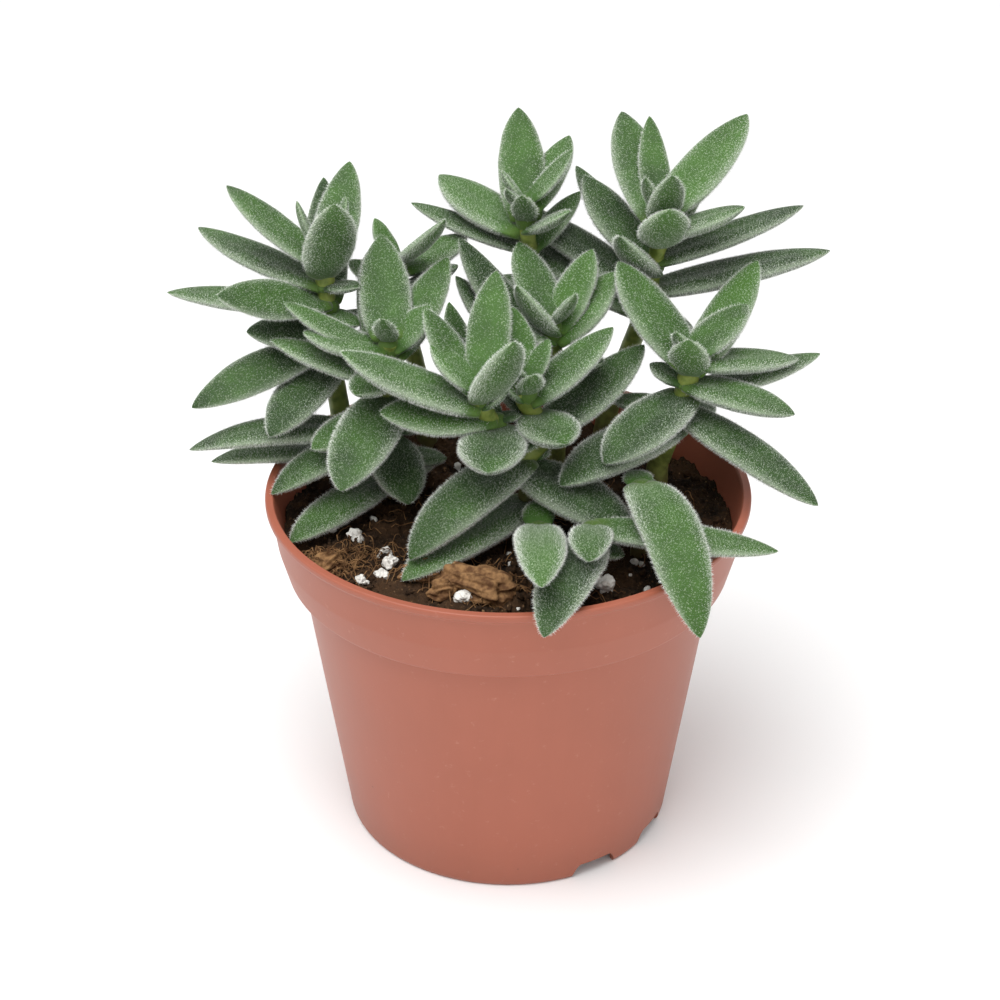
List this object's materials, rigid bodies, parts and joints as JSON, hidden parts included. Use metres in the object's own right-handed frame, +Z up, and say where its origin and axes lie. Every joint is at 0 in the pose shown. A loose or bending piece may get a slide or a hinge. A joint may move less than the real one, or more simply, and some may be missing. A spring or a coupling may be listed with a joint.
{
  "type": "potted succulent",
  "caption": "Clump of velvety opposite-leaved succulent shoots growing in potting soil in a round tapered plastic nursery pot with a broad rim collar.",
  "frame": {"origin": "middle of the whole plant's footprint, leaves included, on the plane the pot stands on", "axes": "+Z up along the pot's axis; the front faces -Y, +X to its right"},
  "size_m": [0.1249, 0.099, 0.1259],
  "materials": {
    "pot": "moulded terracotta-coloured polypropylene, satin",
    "soil": null,
    "stem": null,
    "leaf": null
  },
  "bodies": {
    "root": {"back_leaves_1": "leaf", "back_leaves_2": "leaf", "back_left_leaves_1": "leaf", "back_left_tip": "leaf", "back_tip": "leaf", "centre_leaves_1": "leaf", "centre_leaves_2": "leaf", "centre_left_leaves_1": "leaf", "centre_left_leaves_2": "leaf", "centre_left_leaves_3": "leaf", "centre_left_leaves_4": "leaf", "centre_left_leaves_5": "leaf", "centre_left_leaves_6": "leaf", "centre_left_tip": "leaf", "centre_tip": "leaf", "front_fork_leaves_1": "leaf", "front_fork_leaves_2": "leaf", "front_fork_tip": "leaf", "front_leaves_1": "leaf", "front_leaves_2": "leaf", "front_leaves_3": "leaf", "front_tip": "leaf", "left_leaves_1": "leaf", "left_leaves_2": "leaf", "left_leaves_3": "leaf", "left_leaves_4": "leaf", "left_leaves_5": "leaf", "left_tip": "leaf", "lower_right_leaves_1": "leaf", "offset_left_leaves_1": "leaf", "offset_right_leaves_1": "leaf", "offset_right_leaves_2": "leaf", "pot": "pot", "right_back_leaves_1": "leaf", "right_back_leaves_2": "leaf", "right_back_leaves_3": "leaf", "right_back_tip": "leaf", "right_leaves_1": "leaf", "right_leaves_2": "leaf", "right_leaves_3": "leaf", "right_leaves_4": "leaf", "right_tip": "leaf", "soil": "soil", "stem_back": "stem", "stem_back_left": "stem", "stem_centre": "stem", "stem_centre_left": "stem", "stem_front": "stem", "stem_left": "stem", "stem_lower_right": "stem", "stem_offset_left": "stem", "stem_offset_right": "stem", "stem_right": "stem", "stem_right_back": "stem"}
  },
  "joints": []
}
